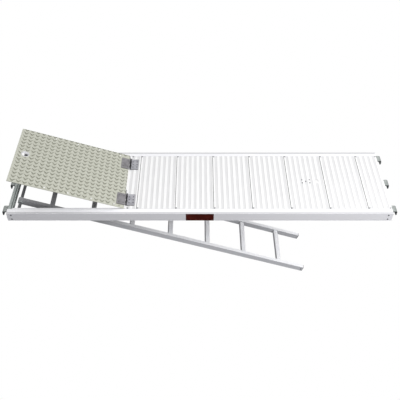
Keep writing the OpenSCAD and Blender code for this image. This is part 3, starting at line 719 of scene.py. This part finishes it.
def fasteners(node, axis, height, material, body, recess_share=0.42, hexagonal=False):
    """Detailed heads in place of a node's plain ones."""
    stack = Stack()
    for top, radius, outward in fastener_seats(node, axis):
        stack.rings(head_rings(top, radius, outward, height, radius * recess_share, hexagonal))
    piece = make_piece(node + "_heads", stack.points, stack.faces, material, body)
    piece.data.set_sharp_from_angle(angle=math.radians(50))
    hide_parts(node)


# ---- welds ------------------------------------------------------------------

RUNG_BEAD = 2.4 * MM
CLAW_BEAD = 2.2 * MM
WELD_STEPS = 72
BEAD_STEPS = 8
WELD_SQUARENESS = 0.35  # 1 would be an ellipse, 0 a sharp rectangle


def weld_ring(centre, first, second, reach, bead):
    """A rippled bead round a rounded rectangle that first and second span."""
    through = first.cross(second)
    rings = []
    for step in range(WELD_STEPS):
        phase = 2 * math.pi * step / WELD_STEPS
        x = reach[0] * math.copysign(abs(math.cos(phase)) ** WELD_SQUARENESS, math.cos(phase))
        z = reach[1] * math.copysign(abs(math.sin(phase)) ** WELD_SQUARENESS, math.sin(phase))
        outward = (first * (x / reach[0] ** 2) + second * (z / reach[1] ** 2)).normalized()
        ripple = 1 + 0.13 * math.sin(step * math.pi * 2 / 3) + 0.08 * random.uniform(-1, 1)
        ring = []
        for turn in range(BEAD_STEPS):
            spin = 2 * math.pi * turn / BEAD_STEPS
            ring.append(centre + first * x + second * z + outward * bead * ripple * math.cos(spin)
                        + through * bead * ripple * math.sin(spin))
        rings.append(ring)
    return rings


def rung_welds():
    """Beads round both ends of every rung."""
    stack = Stack()
    ladder = Matrix((LADDER_ALONG, ACROSS, LADDER_UP)).transposed().to_4x4()
    for number in range(1, 8):
        low, high = local_box(f"rung_{number}", ladder)
        reach = ((high.x - low.x) / 2, (high.z - low.z) / 2)
        for y in (low.y, high.y):
            centre = ladder @ Vector(((low.x + high.x) / 2, y, (low.z + high.z) / 2))
            bead = weld_ring(centre, LADDER_ALONG, LADDER_UP, reach, RUNG_BEAD)
            stack.rings(bead, closed_path=True)
    piece = make_piece("rung_welds", stack.points, stack.faces, weld_metal(), "ladder")


def claw_welds():
    """Beads round the root of every claw, on the end beams' outer faces."""
    stack = Stack()
    beam_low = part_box("hatch_end_beam")[0]
    for end, face in (("hatch_end", RAIL_LOW.x), ("plain_end", RAIL_HIGH.x)):
        for place in ("near", "middle", "far"):
            low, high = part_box(f"{end}_{place}_claw")
            centre = Vector((face, (low.y + high.y) / 2, (beam_low.z + high.z) / 2))
            reach = ((high.y - low.y) / 2, (high.z - beam_low.z) / 2)
            stack.rings(weld_ring(centre, ACROSS, UP, reach, CLAW_BEAD), closed_path=True)
    piece = make_piece("claw_welds", stack.points, stack.faces, weld_metal(), "deck")


# ---- identity plate trim ----------------------------------------------------

# Inset from the plate's edge and rise over its face, in millimetres, round the border
BORDER_SECTION = ((1, -0.2), (1, 0.21), (1.6, 0.35), (3, 0.35), (3.5, 0.14), (3.5, -0.2))
PIN_INSET = 9 * MM
PIN_RADIUS = 2.6 * MM
PIN_HEIGHT = 0.9 * MM
PIN_RECESS = 0.8 * MM


def plate_trim():
    """A raised enamelled border and four drive pins on the blank identity plate."""
    low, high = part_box("identity_plate")
    face = low.y
    stack = Stack()
    rings = []
    for inset, rise in BORDER_SECTION:
        left, right = low.x + inset * MM, high.x - inset * MM
        bottom, top = low.z + inset * MM, high.z - inset * MM
        rings.append([Vector((x, face - rise * MM, z)) for x, z in (
            (left, bottom), (right, bottom), (right, top), (left, top))])
    stack.rings(rings, closed_path=True)
    piece = make_piece("identity_plate_border", stack.points, stack.faces, identity_enamel(),
                       "deck", smooth=False)
    pins = Stack()
    for x in (low.x + PIN_INSET, high.x - PIN_INSET):
        for z in (low.z + PIN_INSET, high.z - PIN_INSET):
            top = Vector((x, face - PIN_HEIGHT, z))
            pins.rings(head_rings(top, PIN_RADIUS, -ACROSS, PIN_HEIGHT, PIN_RECESS, False))
    piece = make_piece("identity_plate_pins", pins.points, pins.faces, dark_steel(), "deck")


# ---- finishes on the frame --------------------------------------------------

EDGE_ROUNDING = 0.5 * MM


def round_edges(node, width):
    """Rounds a node's hard edges with modifiers; the mesh itself is left alone."""
    obj = NODES[node]
    for polygon in obj.data.polygons:
        polygon.use_smooth = True
    if "custom_normal" in obj.data.attributes:
        obj.data.attributes.remove(obj.data.attributes["custom_normal"])
    weld = obj.modifiers.new("weld", "WELD")
    weld.merge_threshold = SAME_PLACE
    flats = obj.modifiers.new("flats", "DECIMATE")
    flats.decimate_type = "DISSOLVE"
    flats.angle_limit = math.radians(0.4)
    bevel = obj.modifiers.new("bevel", "BEVEL")
    bevel.width = width
    bevel.segments = 2
    bevel.limit_method = "ANGLE"
    bevel.angle_limit = math.radians(38)
    bevel.harden_normals = True


def finish_nodes():
    finishes = {
        plank_aluminium: ["hinge_plank", "plank_1", "plank_2", "plank_3", "plank_4", "plank_5",
                          "plank_6", "end_plank"],
        rail_aluminium: ["near_side_rail", "far_side_rail", "corner_connectors",
                         "near_hatch_stiffener", "far_hatch_stiffener", "hand_hole_rim"],
        galvanised: ["hatch_end_beam", "plain_end_beam", "shaft_collars", "catch_bracket",
                     "catch_hook"],
        claw_zinc: ["hatch_end_near_claw", "hatch_end_middle_claw", "hatch_end_far_claw",
                    "plain_end_near_claw", "plain_end_middle_claw", "plain_end_far_claw"],
        tread_plate: ["hatch_plate"],
        deck_leaf_zinc: ["near_hinge_deck_leaf", "far_hinge_deck_leaf"],
        hatch_leaf_zinc: ["near_hinge_hatch_leaf", "far_hinge_hatch_leaf"],
        dark_steel: ["near_hinge_pin", "far_hinge_pin", "collar_pins", "catch_pin"],
        shaft_steel: ["pivot_shaft"],
        ladder_aluminium: ["near_stringer", "far_stringer"],
        rung_aluminium: [f"rung_{number}" for number in range(1, 8)],
        black_plastic: ["hand_hole_grip", "ladder_feet", "pivot_bushes"],
        identity_enamel: ["identity_plate"],
    }
    for recipe, nodes in finishes.items():
        material = recipe()
        for node in nodes:
            NODES[node].data.materials.clear()
            NODES[node].data.materials.append(material)
            round_edges(node, EDGE_ROUNDING)


# ---- studio -----------------------------------------------------------------

FLOOR_Z = DECK_MIDDLE.z - 2.2
FLOOR_SIZE = 80
FLOOR_GREY = colour(72, 72, 74)
SKY_LOW = 0.22
SKY_HIGH = 1.17
SKY_SLANT = (0.5, -0.5, 0)


def studio_floor():
    """A plain pale floor, white to the camera and clear from below."""
    mesh = bpy.data.meshes.new("floor")
    half = FLOOR_SIZE / 2
    mesh.from_pydata([(-half, -half, FLOOR_Z), (half, -half, FLOOR_Z),
                      (half, half, FLOOR_Z), (-half, half, FLOOR_Z)], [], [(0, 1, 2, 3)])
    floor = bpy.data.objects.new("floor", mesh)
    bpy.context.scene.collection.objects.link(floor)
    material = bpy.data.materials.new("pale_floor")
    material.use_nodes = True
    nodes, links = material.node_tree.nodes, material.node_tree.links
    nodes.clear()
    output = nodes.new("ShaderNodeOutputMaterial")
    diffuse = nodes.new("ShaderNodeBsdfDiffuse")
    diffuse.inputs["Color"].default_value = FLOOR_GREY
    white = nodes.new("ShaderNodeEmission")
    clear = nodes.new("ShaderNodeBsdfTransparent")
    ray = nodes.new("ShaderNodeLightPath")
    side = nodes.new("ShaderNodeNewGeometry")
    seen = nodes.new("ShaderNodeMixShader")
    under = nodes.new("ShaderNodeMixShader")
    links.new(ray.outputs["Is Camera Ray"], seen.inputs[0])
    links.new(diffuse.outputs[0], seen.inputs[1])
    links.new(white.outputs[0], seen.inputs[2])
    links.new(side.outputs["Backfacing"], under.inputs[0])
    links.new(seen.outputs[0], under.inputs[1])
    links.new(clear.outputs[0], under.inputs[2])
    links.new(under.outputs[0], output.inputs[0])
    mesh.materials.append(material)


def studio_sky():
    """White surroundings, brighter overhead and in front, pure white to the camera."""
    world = bpy.data.worlds.new("studio")
    bpy.context.scene.world = world
    world.use_nodes = True
    nodes, links = world.node_tree.nodes, world.node_tree.links
    nodes.clear()
    output = nodes.new("ShaderNodeOutputWorld")
    direction = nodes.new("ShaderNodeTexCoord")
    split = nodes.new("ShaderNodeSeparateXYZ")
    lift = nodes.new("ShaderNodeMapRange")
    lift.inputs["From Min"].default_value = 0.0
    lift.inputs["From Max"].default_value = 0.8
    lift.inputs["To Min"].default_value = SKY_LOW
    lift.inputs["To Max"].default_value = SKY_HIGH
    lighting = nodes.new("ShaderNodeBackground")
    white = nodes.new("ShaderNodeBackground")
    ray = nodes.new("ShaderNodeLightPath")
    seen = nodes.new("ShaderNodeMixShader")
    white.inputs["Color"].default_value = (1, 1, 1, 1)
    slant = nodes.new("ShaderNodeVectorMath")
    slant.operation = "DOT_PRODUCT"
    slant.inputs[1].default_value = SKY_SLANT
    level = nodes.new("ShaderNodeMath")
    level.operation = "ADD"
    level.inputs[1].default_value = 1.0
    strength = nodes.new("ShaderNodeMath")
    strength.operation = "MULTIPLY"
    links.new(direction.outputs["Generated"], split.inputs[0])
    links.new(direction.outputs["Generated"], slant.inputs[0])
    links.new(slant.outputs["Value"], level.inputs[0])
    links.new(split.outputs[2], lift.inputs["Value"])
    links.new(level.outputs[0], strength.inputs[0])
    links.new(lift.outputs[0], strength.inputs[1])
    links.new(strength.outputs[0], lighting.inputs["Color"])
    links.new(ray.outputs["Is Camera Ray"], seen.inputs[0])
    links.new(lighting.outputs[0], seen.inputs[1])
    links.new(white.outputs[0], seen.inputs[2])
    links.new(seen.outputs[0], output.inputs[0])


def soft_light(name, at, aim, size, power):
    """A square soft box, placed and aimed from the deck's middle."""
    data = bpy.data.lights.new(name, "AREA")
    data.size = size
    data.energy = power
    lamp = bpy.data.objects.new(name, data)
    lamp.location = DECK_MIDDLE + Vector(at)
    lamp.rotation_euler = (Vector(aim) - Vector(at)).to_track_quat("-Z", "Y").to_euler()
    bpy.context.scene.collection.objects.link(lamp)


def camera():
    """The viewing camera: in front of the deck, looking down on it at 44 degrees."""
    data = bpy.data.cameras.new("camera")
    data.sensor_width = 36
    data.lens = 57.15
    data.shift_x = 0.0039
    view = bpy.data.objects.new("camera", data)
    view.location = DECK_MIDDLE + Vector((-0.00875, -3.169, 2.888))
    view.rotation_euler = (math.radians(45.97), 0, 0)
    bpy.context.scene.collection.objects.link(view)
    bpy.context.scene.camera = view


def studio():
    studio_floor()
    studio_sky()
    soft_light("key", at=(2.2, -1.8, 1.3), aim=(0.5, 0, -0.3), size=1.2, power=30)
    soft_light("front", at=(1.8, -2.4, 2.6), aim=(0.2, 0, -0.4), size=2.0, power=36)
    bpy.context.scene.view_settings.view_transform = "Standard"


random.seed(11)
finish_nodes()
tread_bars()
rung_welds()
claw_welds()
plate_trim()
fasteners("plank_rivets", UP, 1.8 * MM, plank_rivet_metal(), "deck")
fasteners("catch_rivets", UP, 1.8 * MM, dark_steel(), "deck")
fasteners("rail_end_rivets", ACROSS, 2.4 * MM, dark_steel(), "deck")
fasteners("hinge_deck_screws", UP, 1.6 * MM, dark_steel(), "deck",
          recess_share=0.55, hexagonal=True)
fasteners("hinge_hatch_rivets", HATCH_NORMAL, 0.9 * MM, hatch_leaf_zinc(), "hatch")
fasteners("hatch_edge_rivets", HATCH_NORMAL, 2.0 * MM, bright_rivet(), "hatch")
fasteners("ladder_foot_rivets", ACROSS, 2.0 * MM, dark_steel(), "ladder")
studio()
camera()
